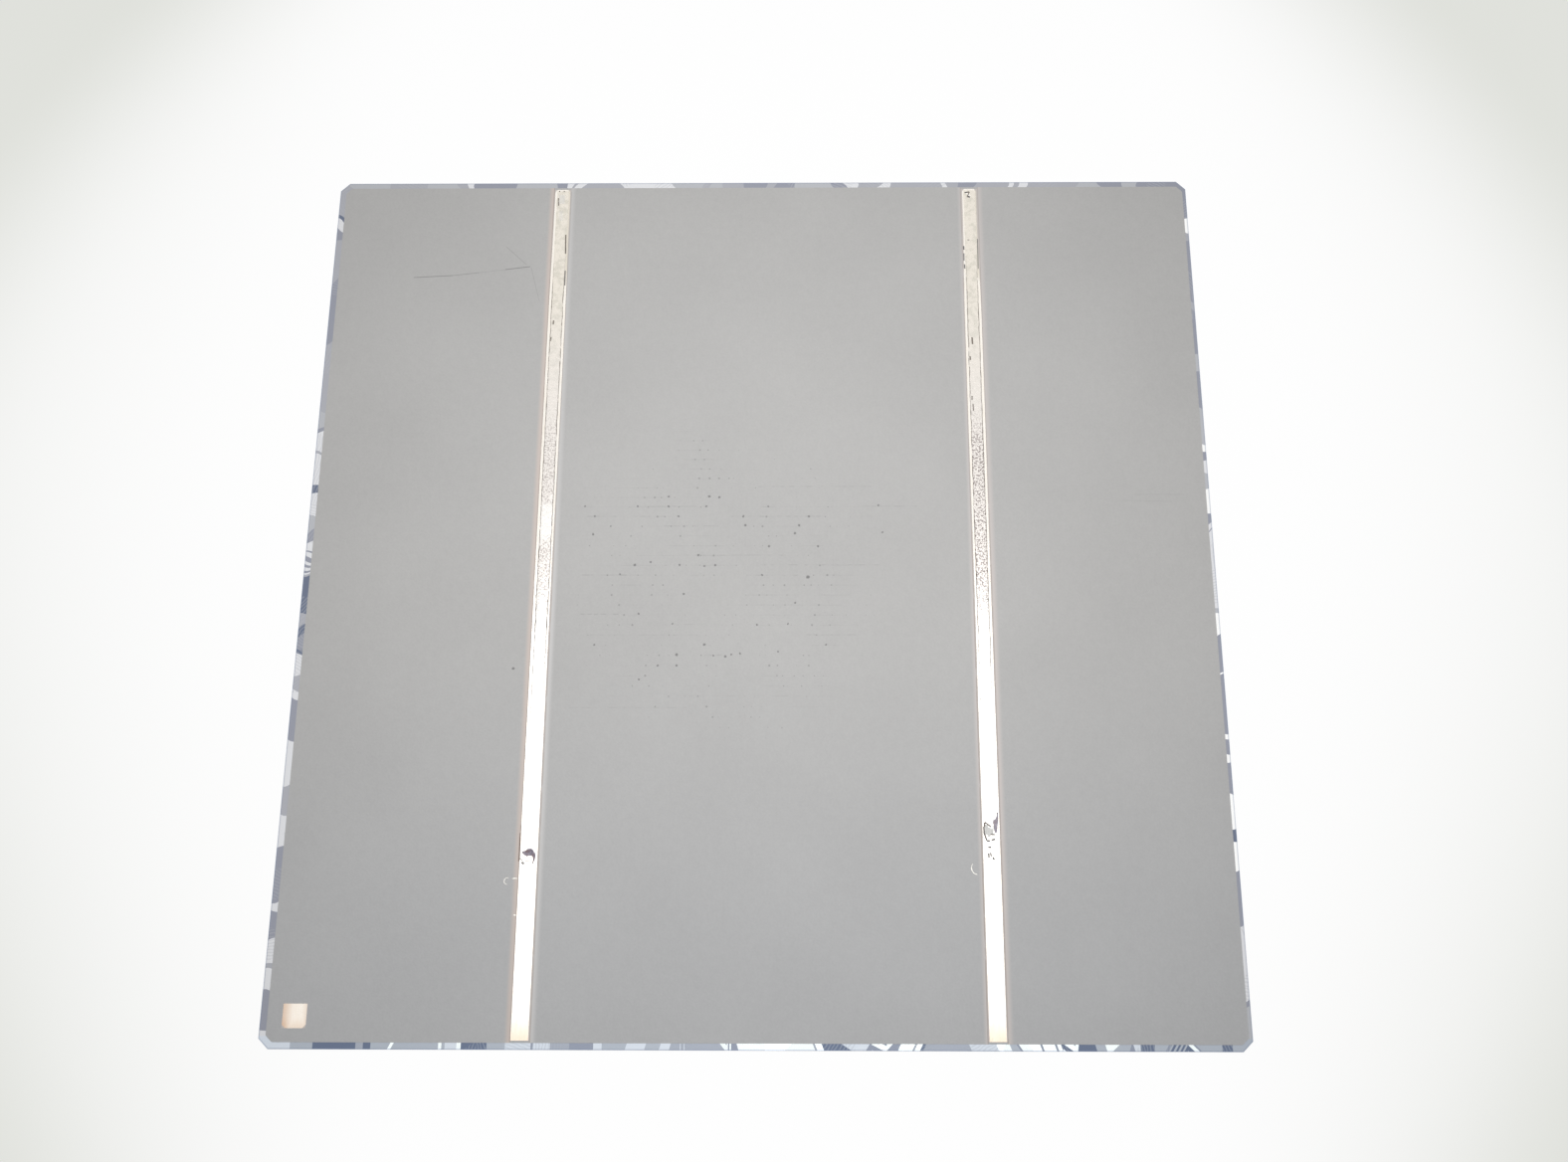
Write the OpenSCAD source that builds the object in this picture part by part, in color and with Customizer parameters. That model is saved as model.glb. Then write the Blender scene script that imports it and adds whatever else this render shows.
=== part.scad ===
// Polycrystalline solar cell, lying with its sunny side down and its rear side up.
// A thin cast silicon wafer carries, on its rear, a printed aluminium layer with two slots and a
// square window. Fired silver shows in them, and old solder lies on the silver of the slots.
// On the sunny side, underneath, two silver bars gather the current of a row of thin fingers.
// The origin is the middle of the cell on the surface that it lies on. Sizes are in millimetres.

/* [Wafer] */
// Side of the square wafer
cell_side = 156; // [120:0.5:170]
// Thickness of the silicon
wafer_t = 0.2; // [0.12:0.01:0.4]
// Leg of each cut corner
corner_cut = 1.6; // [0.4:0.1:6]

/* [Rear aluminium] */
// Bare rim between the aluminium and the wafer's left and right edges
rim_side = 0.85; // [0.3:0.05:3]
// Bare rim between the aluminium and the wafer's near and far edges
rim_end = 1.05; // [0.3:0.05:3]
// How far the aluminium print sits to the right of the wafer's middle
aluminium_shift = 0.25; // [-0.3:0.05:0.3]
// Thickness of the aluminium layer
aluminium_t = 0.03; // [0.02:0.005:0.1]
// Radius that the paste leaves at the corners of its outline
aluminium_round = 0.5; // [0.1:0.1:0.8]

/* [Rear silver] */
// Distance between the middles of the two bars, on both sides of the cell
bar_pitch = 75; // [60:0.5:90]
// How far the rear bars sit to the right of the wafer's middle
rear_bar_shift = 0.7; // [-1:0.1:1]
// Width of the slot through which a bar shows
slot_w = 3; // [2.6:0.1:5]
// Bridge of aluminium between the end of a slot and the aluminium's edge
slot_bridge = 0.35; // [0.3:0.05:2]
// Side of the square window of the corner pad
pad_w = 3.8; // [2:0.1:6]
// From the wafer's left edge to the pad's window
pad_from_side = 3.5; // [2.5:0.1:10]
// From the wafer's near edge to the pad's window
pad_from_end = 3.2; // [2.5:0.1:10]
// How far the aluminium laps over the edges of the silver
silver_lap = 0.25; // [0.1:0.05:0.3]
// Thickness of the fired silver
silver_t = 0.015; // [0.01:0.005:0.02]

/* [Old solder] */
// Mean width of a solder track
solder_w = 2; // [1:0.1:2.2]
// Height of a track at its highest lumps
solder_h = 0.06; // [0.03:0.01:0.2]
// Bare silver below the left track
left_bare = 29.75; // [10:0.05:60]
// Bare silver below the right track
right_bare = 32.4; // [10:0.1:60]
// Bare silver above both tracks
solder_top_gap = 0.3; // [0.1:0.1:5]
// How far the track's edges wander to each side
solder_rag = 0.16; // [0.05:0.01:0.2]

/* [Torn places] */
// Width of the left crater, across the bar
left_tear_w = 2.35; // [0.5:0.05:2.6]
// Length of the left crater, along the bar
left_tear_l = 2.5; // [0.5:0.1:6]
// Width of the right crater, across the bar
right_tear_w = 0.95; // [0.3:0.05:1.2]
// Length of the right crater, along the bar
right_tear_l = 3.6; // [0.5:0.1:6]
// Depth to which silicon came away with the silver
tear_depth = 0.03; // [0.01:0.01:0.08]

/* [Sunny side] */
// Width of a front bar
front_bar_w = 2; // [1:0.1:4]
// Distance from finger to finger
finger_pitch = 1.8; // [1.2:0.1:4]
// Width of a finger
finger_w = 0.1; // [0.06:0.01:0.3]
// Bare margin between the print and the wafer's edges
front_margin = 2; // [1:0.1:5]
// Thickness of the front print
front_t = 0.02; // [0.01:0.005:0.05]

/* [Hidden] */

// Overrun of every cut past the face that it leaves
overrun = 0.01;
// Turn from one edge of a cut-cornered square to the next
edge_turn = 45;
// Steps of the arc at each corner of the aluminium
round_steps = 4;

// Levels, from the table up
wafer_z = front_t;
rear_z = wafer_z + wafer_t;
silver_top_z = rear_z + silver_t;

// Outline of the aluminium, which keeps the rim's width along the cut corners too
aluminium_w = cell_side - 2 * rim_side;
aluminium_l = cell_side - 2 * rim_end;
aluminium_cut = corner_cut - (rim_side + rim_end) * (1 - sqrt(1 / 2));

// Slots and bars, left then right
LEFT = 0;
RIGHT = 1;
bar_x = [rear_bar_shift - bar_pitch / 2, rear_bar_shift + bar_pitch / 2];
slot_l = aluminium_l - 2 * slot_bridge;
slot_far_y = slot_l / 2;
pad_x = pad_from_side + pad_w / 2 - cell_side / 2;
pad_y = pad_from_end + pad_w / 2 - cell_side / 2;

// Solder tracks, measured down from the far end of their slot
bare_below = [left_bare, right_bare];
solder_far_y = slot_far_y - solder_top_gap;
solder_near_y = [-slot_far_y + bare_below[LEFT], -slot_far_y + bare_below[RIGHT]];
solder_steps = 84;
// Length of the slow waver of the edges, and of the lumps on the crown
rag_wave = 11;
lump_wave = 5;
// Waver's second, quicker part as a share of the slow one
quick_wave_share = 0.31;
// Share of the height by which the crown sinks between lumps
lump_share = 0.35;
// Shoulder of the section: place and height as shares of the half width and the crown
shoulder_place_share = 0.7;
shoulder_rise_share = 0.72;
// Over this length a track thins out to the given share at its two ends
solder_end_run = 3;
solder_end_share = 0.35;
// Start of the waver on the two edges and the crown of each track, in degrees
rag_phases = [[20, 140, 75], [250, 65, 200]];

// Craters, placed from the middle of the bar and up from the near end of the track. The left track
// ends at the tip of its crater, which lies this share of the crater's length above its middle
left_tip_share = 0.22;
tear_w = [left_tear_w, right_tear_w];
tear_l = [left_tear_l, right_tear_l];
left_tear_off = -0.11;
right_tear_off = 0.8;
left_tear_rise = -left_tip_share * left_tear_l;
right_tear_rise = 2.3;
tear_off = [left_tear_off, right_tear_off];
tear_rise = [left_tear_rise, right_tear_rise];
// Outlines of the two craters, as shares of their width and length
tear_shares = [
    [
        [-0.5, 0.22], [-0.33, 0.32], [-0.19, 0.35], [-0.09, 0.45], [0.05, 0.5], [0.23, 0.45],
        [0.36, 0.33], [0.46, 0.18], [0.5, 0], [0.46, -0.25], [0.33, -0.5], [0.32, -0.25],
        [0.3, -0.08], [0.21, 0], [0.03, 0], [-0.09, -0.05], [-0.24, 0.02], [-0.38, 0.12]
    ],
    [
        [0.42, 0.5], [0.5, 0.21], [0.37, -0.1], [0.22, -0.4], [-0.04, -0.5], [-0.39, -0.28],
        [-0.26, -0.09], [-0.5, 0], [-0.45, 0.13], [-0.03, 0.18], [0.23, 0.33]
    ]
];
// Outlines of the pits in the silicon, as shares of the crater that each lies in
pit_shares = [
    [
        [-0.38, 0.2], [-0.2, 0.28], [-0.04, 0.38], [0.06, 0.42], [0.22, 0.37], [0.34, 0.24],
        [0.41, 0.05], [0.4, -0.2], [0.37, -0.34], [0.37, -0.1], [0.3, 0.05], [0.2, 0.08],
        [0.02, 0.07], [-0.1, 0.03], [-0.24, 0.09]
    ],
    [
        [0.34, 0.4], [0.4, 0.17], [0.3, -0.08], [0.18, -0.32], [-0.03, -0.4], [-0.31, -0.22],
        [-0.21, -0.07], [-0.4, 0], [-0.36, 0.1], [-0.02, 0.14], [0.18, 0.26]
    ]
];

// Hole through the right track near its far end
hole_w = 1;
hole_l = 1.3;
hole_off = -0.2;
hole_from_end = 0.3;
hole_shares = [
    [-0.5, 0.5], [-0.1, 0.45], [0.1, 0.2], [0.4, 0.05], [0.5, -0.25], [0.35, -0.5],
    [0.05, -0.45], [-0.05, -0.1], [-0.3, 0.1], [-0.5, 0.25]
];

// Front print: as many fingers as the pitch fits between the margins
front_half = cell_side / 2 - front_margin;
finger_count = floor(2 * front_half / finger_pitch) + 1;
finger_span = (finger_count - 1) * finger_pitch;
// A finger near a cut corner stops short, so that the margin holds there too
corner_reach = cell_side - corner_cut - front_margin * sqrt(2);

silicon_colour = [0.36, 0.39, 0.5];
aluminium_colour = [0.72, 0.72, 0.71];
silver_colour = [0.94, 0.92, 0.86];
solder_colour = [0.84, 0.82, 0.77];
front_silver_colour = [0.82, 0.82, 0.8];

// Outward normal of edge k of a cut-cornered square, and the edge's distance from the middle
function edge_normal(k) = [cos(edge_turn * k), sin(edge_turn * k)];
function edge_reach(k, w, l, cut) =
    k % 2 == 1 ? ((w + l) / 2 - cut) / sqrt(2) : (k % 4 == 0 ? w : l) / 2;

// Corner between edge k and the next one
function edge_corner(k, w, l, cut) =
    let (
        a = edge_normal(k),
        b = edge_normal(k + 1),
        reach_a = edge_reach(k, w, l, cut),
        reach_b = edge_reach(k + 1, w, l, cut),
        lean = a * b
    )
    (a * (reach_a - lean * reach_b) + b * (reach_b - lean * reach_a)) / (1 - lean * lean);

// Outline of a rectangle with four cut corners, each of its eight corners an arc of radius r
function cut_square(w, l, cut, r = 0) = [
    for (k = [0 : 7])
        let (
            a = edge_normal(k),
            b = edge_normal(k + 1),
            centre = edge_corner(k, w, l, cut) - (a + b) * r / (1 + a * b),
            steps = r > 0 ? round_steps : 0
        )
        for (i = [0 : steps])
            let (angle = edge_turn * (k + (steps > 0 ? i / steps : 0)))
            centre + r * [cos(angle), sin(angle)]
];

// A table of shares brought to a width and a length
function from_shares(shares, w, l) = [for (p = shares) [p.x * w, p.y * l]];

// Waver between -1 and 1 at a distance along a track
function waver(s, wave, phase) =
    (sin(360 * s / wave + phase) + sin(360 * s / (wave * quick_wave_share) + 2 * phase)) / 2;

// Half width and crown height of a track at a distance from its far end
function track_half(s, phase) = solder_w / 2 + solder_rag * waver(s, rag_wave, phase);
function end_thinning(s, length) =
    solder_end_share + (1 - solder_end_share) * min(1, s / solder_end_run, (length - s) / solder_end_run);
function track_crown(s, length, phase) =
    solder_h * end_thinning(s, length) * (1 - lump_share * (1 + waver(s, lump_wave, phase)) / 2);

// Section of a track: left edge, left shoulder, crown, right shoulder and right edge
function track_section(s, length, phases) =
    let (
        left = -track_half(s, phases[0]),
        right = track_half(s, phases[1]),
        crown = track_crown(s, length, phases[2])
    )
    [
        [left, -s, 0],
        [left * shoulder_place_share, -s, crown * shoulder_rise_share],
        [0, -s, crown],
        [right * shoulder_place_share, -s, crown * shoulder_rise_share],
        [right, -s, 0]
    ];

// Crowned, ragged track of the given length, from its far end at the origin along -Y
module solder_track(length, phases) {
    ring = 5;
    points = [
        for (i = [0 : solder_steps])
            each track_section(length * i / solder_steps, length, phases)
    ];
    skin = [
        for (i = [0 : solder_steps - 1], j = [0 : ring - 1])
            let (
                a = ring * i + j,
                b = ring * i + (j + 1) % ring,
                c = b + ring,
                d = a + ring
            )
            each [[a, b, c], [a, c, d]]
    ];
    far_cap = [for (j = [ring - 1 : -1 : 0]) j];
    near_cap = [for (j = [0 : ring - 1]) ring * solder_steps + j];
    polyhedron(points = points, faces = concat(skin, [far_cap, near_cap]));
}

// Outline of one crater or of its pit, about the crater's middle
module tear_outline(side, shares = tear_shares) {
    polygon(from_shares(shares[side], tear_w[side], tear_l[side]));
}

// Moves an outline to the middle of one crater
module at_tear(side) {
    translate([bar_x[side] + tear_off[side], solder_near_y[side] + tear_rise[side]])
        children();
}

// What is printed in the slots and the window, each wider by the given lap
module silver_outlines(lap) {
    for (x = bar_x)
        translate([x, 0])
            square([slot_w + 2 * lap, slot_l + 2 * lap], center = true);
    translate([pad_x, pad_y])
        square(pad_w + 2 * lap, center = true);
}

// Cast silicon, with the pits that the torn joints left in its rear
module silicon_wafer() {
    color(silicon_colour)
        difference() {
            translate([0, 0, wafer_z])
                linear_extrude(wafer_t)
                    polygon(cut_square(cell_side, cell_side, corner_cut));
            for (side = [LEFT, RIGHT])
                translate([0, 0, rear_z - tear_depth])
                    linear_extrude(tear_depth + overrun)
                        at_tear(side)
                            tear_outline(side, pit_shares);
        }
}

// Printed aluminium, open over the silver and undercut where it laps the silver's edges
module rear_aluminium() {
    color(aluminium_colour)
        difference() {
            translate([aluminium_shift, 0, rear_z])
                linear_extrude(aluminium_t)
                    polygon(cut_square(aluminium_w, aluminium_l, aluminium_cut, aluminium_round));
            translate([0, 0, rear_z - overrun])
                linear_extrude(aluminium_t + 2 * overrun)
                    silver_outlines(0);
            translate([0, 0, rear_z - overrun])
                linear_extrude(silver_t + overrun)
                    silver_outlines(silver_lap);
        }
}

// Fired silver bar of one slot, torn through at its crater
module rear_busbar(side) {
    color(silver_colour)
        translate([0, 0, rear_z])
            linear_extrude(silver_t)
                difference() {
                    translate([bar_x[side], 0])
                        square([slot_w + 2 * silver_lap, slot_l + 2 * silver_lap], center = true);
                    at_tear(side)
                        tear_outline(side);
                }
}

module rear_busbar_left() {
    rear_busbar(LEFT);
}

module rear_busbar_right() {
    rear_busbar(RIGHT);
}

// Fired silver square under the window in the corner
module corner_pad() {
    color(silver_colour)
        translate([pad_x, pad_y, rear_z])
            linear_extrude(silver_t)
                square(pad_w + 2 * silver_lap, center = true);
}

// Old solder of one bar, torn away at its crater
module solder_strip(side) {
    difference() {
        translate([bar_x[side], solder_far_y, silver_top_z])
            solder_track(solder_far_y - solder_near_y[side], rag_phases[side]);
        translate([0, 0, silver_top_z - overrun])
            linear_extrude(solder_h + 2 * overrun)
                at_tear(side)
                    tear_outline(side);
    }
}

module solder_strip_left() {
    color(solder_colour)
        solder_strip(LEFT);
}

module solder_strip_right() {
    color(solder_colour)
        difference() {
            solder_strip(RIGHT);
            translate([
                bar_x[RIGHT] + hole_off, solder_far_y - hole_from_end - hole_l / 2, silver_top_z - overrun
            ])
                linear_extrude(solder_h + 2 * overrun)
                    polygon(from_shares(hole_shares, hole_w, hole_l));
        }
}

// Silver print of the sunny side, in one piece
module front_grid() {
    color(front_silver_colour)
        linear_extrude(front_t) {
            for (i = [0 : finger_count - 1])
                let (
                    y = i * finger_pitch - finger_span / 2,
                    reach = min(front_half, corner_reach - abs(y) - finger_w / 2)
                )
                translate([0, y])
                    square([2 * reach, finger_w], center = true);
            for (x = [-bar_pitch / 2, bar_pitch / 2])
                translate([x, 0])
                    square([front_bar_w, finger_span + finger_w], center = true);
        }
}

silicon_wafer();
rear_aluminium();
rear_busbar_left();
rear_busbar_right();
corner_pad();
solder_strip_left();
solder_strip_right();
front_grid();
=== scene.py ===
# %% [markdown]
# A polycrystalline solar cell, rear side up
#
# The cell is a stack of thin layers: a silicon wafer, a grey aluminium print with two slots and a small
# window, cream silver in those openings, old solder on the silver of the slots, and a grid of silver
# lines on the sunny side, which faces the table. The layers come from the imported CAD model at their
# real size. This lesson gives each of them its finish. It models the lumpy solder tracks anew, because
# their lumps are too fine for the CAD solids, and adds the threads of solder beside the bars.

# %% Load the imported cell
import math

import bpy
from mathutils import Euler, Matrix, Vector


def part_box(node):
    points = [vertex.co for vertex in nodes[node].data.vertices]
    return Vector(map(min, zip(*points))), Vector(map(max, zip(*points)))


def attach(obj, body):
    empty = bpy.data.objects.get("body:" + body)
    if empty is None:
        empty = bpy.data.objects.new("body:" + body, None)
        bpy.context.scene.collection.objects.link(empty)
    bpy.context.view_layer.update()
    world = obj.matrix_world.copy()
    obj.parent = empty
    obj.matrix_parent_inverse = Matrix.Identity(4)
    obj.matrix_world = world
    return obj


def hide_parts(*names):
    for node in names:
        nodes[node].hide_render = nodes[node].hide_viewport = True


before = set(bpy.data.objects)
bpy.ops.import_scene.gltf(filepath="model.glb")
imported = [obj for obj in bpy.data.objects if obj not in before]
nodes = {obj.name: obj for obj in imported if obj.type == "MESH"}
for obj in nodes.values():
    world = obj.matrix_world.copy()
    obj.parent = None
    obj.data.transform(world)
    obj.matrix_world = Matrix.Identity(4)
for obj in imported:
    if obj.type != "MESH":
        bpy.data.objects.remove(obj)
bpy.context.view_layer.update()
MM = 0.001
print("layers:", ", ".join(sorted(nodes)))

# %% [markdown]
# The four corners of the wafer in the photograph fix where the camera stood, because the wafer is a
# known square. The place is written in millimetres from the middle of the cell, above its rear
# face. The same numbers turn a pixel of the photograph into a place on the cell, which helps to
# put scratches and specks where they belong.

# %% Set up the camera
PHOTO_W, PHOTO_H = 1576, 1168
CAMERA_PLACE = (8.06, -102.64, 291.31)
CAMERA_TURN = (0.3384, 0.0112, 0.004)
LENS, SENSOR = 41.54, 36.0

rear_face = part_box("rear_aluminium")[1].z
camera_data = bpy.data.cameras.new("camera")
camera_data.lens = LENS
camera_data.sensor_width = SENSOR
camera = bpy.data.objects.new("camera", camera_data)
camera.location = Vector(CAMERA_PLACE) * MM + Vector((0, 0, rear_face))
camera.rotation_euler = CAMERA_TURN
bpy.context.scene.collection.objects.link(camera)
bpy.context.scene.camera = camera


def on_cell(pixel):
    """The place on the rear face, in millimetres, that a pixel of the photograph shows."""
    focal = LENS / SENSOR * PHOTO_W
    ray = Vector(((pixel[0] - PHOTO_W / 2) / focal, (PHOTO_H / 2 - pixel[1]) / focal, -1))
    ray.rotate(Euler(CAMERA_TURN))
    steps = -CAMERA_PLACE[2] / ray.z
    return CAMERA_PLACE[0] + steps * ray.x, CAMERA_PLACE[1] + steps * ray.y


print("middle of the picture on the cell, mm:", on_cell((PHOTO_W / 2, PHOTO_H / 2)))

# %% [markdown]
# A finish is a network of nodes. Written as plain Python sums it stays readable: the class below
# wraps one socket, and each operator adds a Math node. Masks are numbers from 0 to 1, so the signs
# for "or" and "and" take the larger and the smaller of two of them. Every other node comes from
# one method.

# %% A socket that can be calculated with
class Field:
    """One output socket of a node tree, with arithmetic that adds nodes to the tree."""

    def __init__(self, socket):
        self.socket = socket

    def node(self, kind, settings=None, sockets=None, output=0):
        """Adds any node: first its settings, then the values or links of its sockets."""
        tree = self.socket.id_data
        made = tree.nodes.new(kind)
        for name, value in (settings or {}).items():
            if name == "stops":
                set_stops(made.color_ramp, value)
            else:
                setattr(made, name, value)
        for name, value in (sockets or {}).items():
            if isinstance(value, Field):
                tree.links.new(value.socket, made.inputs[name])
            else:
                made.inputs[name].default_value = value
        return Field(made.outputs[output])

    def math(self, operation, first, second=0.0):
        return self.node("ShaderNodeMath", {"operation": operation}, {0: first, 1: second})

    def __add__(self, other):
        return self.math("ADD", self, other)

    def __sub__(self, other):
        return self.math("SUBTRACT", self, other)

    def __rsub__(self, other):
        return self.math("SUBTRACT", other, self)

    def __mul__(self, other):
        return self.math("MULTIPLY", self, other)

    def __truediv__(self, other):
        return self.math("DIVIDE", self, other)

    def __gt__(self, other):
        return self.math("GREATER_THAN", self, other)

    def __lt__(self, other):
        return self.math("LESS_THAN", self, other)

    def __or__(self, other):
        return self.math("MAXIMUM", self, other)

    def __and__(self, other):
        return self.math("MINIMUM", self, other)

    def __abs__(self):
        return self.math("ABSOLUTE", self)

    __radd__ = __add__
    __rmul__ = __mul__


def set_stops(ramp, stops):
    """Gives a colour ramp its stops, each a place from 0 to 1 and a colour."""
    ramp.interpolation = "CONSTANT"
    while len(ramp.elements) < len(stops):
        ramp.elements.new(1.0)
    for element, (place, colour) in zip(ramp.elements, stops):
        element.position = place
        element.color = (*colour, 1.0)


print("shader arithmetic ready")

# %% [markdown]
# A finish starts from a plain shader and from the place on the piece in millimetres, so that a speck
# or a streak is written at its real size. Most surfaces are made of soft steps, soft noise and blends
# of two colours. Each could be set up node by node every time, but a short function says it in a word.

# %% Name what every finish needs
def finish(name):
    """A new material, its main shader, and the place on the piece in millimetres."""
    material = bpy.data.materials.new(name)
    material.use_nodes = True
    tree = material.node_tree
    shader = tree.nodes["Principled BSDF"]
    metres = Field(tree.nodes.new("ShaderNodeTexCoord").outputs["Object"])
    place = metres.node("ShaderNodeVectorMath", {"operation": "SCALE"}, {0: metres, "Scale": 1 / MM})
    return material, shader, place


def feed(shader, socket, field):
    """Links a field to a socket of a shader."""
    field.socket.id_data.links.new(field.socket, shader.inputs[socket])


def axis(place, name):
    """One coordinate of a place."""
    return place.node("ShaderNodeSeparateXYZ", None, {0: place}, name)


def fade(field, start, end):
    """A soft step: 0 at start, 1 at end."""
    ends = {"Value": field, "From Min": start, "From Max": end, "To Min": 0.0, "To Max": 1.0}
    return field.node("ShaderNodeMapRange", {"interpolation_type": "SMOOTHSTEP"}, ends)


def clouds(place, size, detail=2.0):
    """Soft noise about 0.5, with lumps of the given size in millimetres."""
    return place.node("ShaderNodeTexNoise", None, {"Vector": place, "Scale": 1 / size, "Detail": detail})


def waves(place, size, detail=2.0):
    """The same noise about 0."""
    return clouds(place, size, detail) - 0.5


def blend(factor, first, second):
    """A colour between two others."""
    sockets = {0: factor}
    for index, colour in ((6, first), (7, second)):
        sockets[index] = colour if isinstance(colour, Field) else (*colour, 1.0)
    return factor.node("ShaderNodeMix", {"data_type": "RGBA"}, sockets, 2)


def times(field, factors):
    """A colour or a place, each of its three numbers times its own factor."""
    return field.node("ShaderNodeVectorMath", {"operation": "MULTIPLY"}, {0: field, 1: factors})


def channel(colour, index):
    """One of the three numbers of a colour."""
    return colour.node("ShaderNodeSeparateColor", None, {0: colour}, index)


def raise_bumps(shader, field, height):
    """Turns a field into bumps of the given height in millimetres."""
    bumps = field.node("ShaderNodeBump", None, {"Height": field, "Distance": height * MM})
    feed(shader, "Normal", bumps)


def dress(node_name, material):
    """Gives a CAD layer its finish."""
    for slot in nodes[node_name].material_slots:
        slot.material = material


print("helpers for the finishes ready")

# %% [markdown]
# The cell lies on a white table. A plane that is white by its colour alone would turn grey under one
# lamp, so most of its white is a glow that only the camera sees. That glow adds no light to the cell,
# and the rest of the surface keeps the cell's shadow. Away from the cell the white is painted a little
# darker, a painted falloff of light as under any single lamp.

# %% Lay the table
TABLE_SIDE = 6000
TABLE_GAP = 0.02
TABLE_WHITE, TABLE_PAINTED_SHADE = (1.0, 1.0, 1.0), (0.76, 0.77, 0.73)
TABLE_MIDDLE, TABLE_REACH = (4, 25), (130, 110)
TABLE_FADE = (0.35, 2.3)
TABLE_FAR = (130, 260)
TABLE_GLOW_SHARE = 0.96
TABLE_ROUGH = 0.8

bpy.ops.object.select_all(action="DESELECT")
bpy.ops.mesh.primitive_plane_add(size=TABLE_SIDE * MM, location=(0, 0, -TABLE_GAP * MM))
table = bpy.context.object
table.name = "table"

table_finish, table_shader, table_place = finish("white_table")
away = table_place.node("ShaderNodeVectorMath", {"operation": "LENGTH"}, {0: table_place}, "Value")
side_x = (axis(table_place, "X") - TABLE_MIDDLE[0]) / TABLE_REACH[0]
side_y = (axis(table_place, "Y") - TABLE_MIDDLE[1]) / TABLE_REACH[1]
# painted shade: the table's colour darkens away from the cell, a painted falloff of the lamp's light
painted_dimming = side_x * side_x * (1 + side_y * side_y) + fade(away, *TABLE_FAR) * TABLE_FADE[1]
table_colour = blend(fade(painted_dimming, *TABLE_FADE), TABLE_WHITE, TABLE_PAINTED_SHADE)
feed(table_shader, "Base Color", table_colour)
table_shader.inputs["Roughness"].default_value = TABLE_ROUGH
seen = table_place.node("ShaderNodeLightPath", None, None, "Is Camera Ray")
glow = table_place.node("ShaderNodeEmission", None, {"Color": table_colour})
table_mix = {0: seen * TABLE_GLOW_SHARE, 1: Field(table_shader.outputs[0]), 2: glow}
table_surface = table_place.node("ShaderNodeMixShader", None, table_mix)
feed(table_finish.node_tree.nodes["Material Output"], "Surface", table_surface)
table.data.materials.append(table_finish)
print("table side, m:", TABLE_SIDE * MM)

# %% [markdown]
# One soft lamp hangs above the cell, and its light falls off towards the sides. Silver is a mirror with
# a blur, so what hangs above it decides where the bars turn white. Here that is a bright card: its far
# edge ends the glare near the middle of the bars, its near edge at their ends. A single lamp could do
# both jobs, but then the glare would move with the light. So the lamp gives no mirror image, and the
# card lights nothing matte. The room is pale where it is seen or mirrored, and dim as a light.

# %% Hang the lamp and the card
ROOM_AMBIENT, ROOM_BACK, ROOM_MIRRORED = (0.18, 0.18, 0.18), (0.76, 0.77, 0.73), (1.0, 0.98, 0.95)
LAMP_SIZE, LAMP_PLACE, LAMP_LEVEL = (110, 160), (3, 13, 195), 6.75
CARD_SIZE, CARD_PLACE, CARD_LEVEL = (170, 114), (0, 14, 225), 1.35

room = bpy.data.worlds.new("room")
bpy.context.scene.world = room
room.use_nodes = True
seen_room = Field(room.node_tree.nodes.new("ShaderNodeLightPath").outputs["Is Camera Ray"])
mirrored = seen_room.node("ShaderNodeLightPath", None, None, "Is Glossy Ray")
through = seen_room.node("ShaderNodeLightPath", None, None, "Is Transmission Ray")
room_colour = blend(mirrored, blend(seen_room | through, ROOM_AMBIENT, ROOM_BACK), ROOM_MIRRORED)
feed(room.node_tree.nodes["Background"], "Color", room_colour)


def hang(name, size, place, level):
    """An area light, as bright to look at as a white surface times the level."""
    data = bpy.data.lights.new(name, "AREA")
    data.shape = "RECTANGLE"
    data.size, data.size_y = size[0] * MM, size[1] * MM
    data.energy = level * math.pi * data.size * data.size_y
    light = bpy.data.objects.new(name, data)
    light.location = Vector(place) * MM
    light.visible_camera = False
    bpy.context.scene.collection.objects.link(light)
    print(name, "power, W:", round(data.energy, 3))
    return light


hang("lamp", LAMP_SIZE, LAMP_PLACE, LAMP_LEVEL).visible_glossy = False
hang("card", CARD_SIZE, CARD_PLACE, CARD_LEVEL).visible_diffuse = False
bpy.context.scene.view_settings.view_transform = "Standard"
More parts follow.
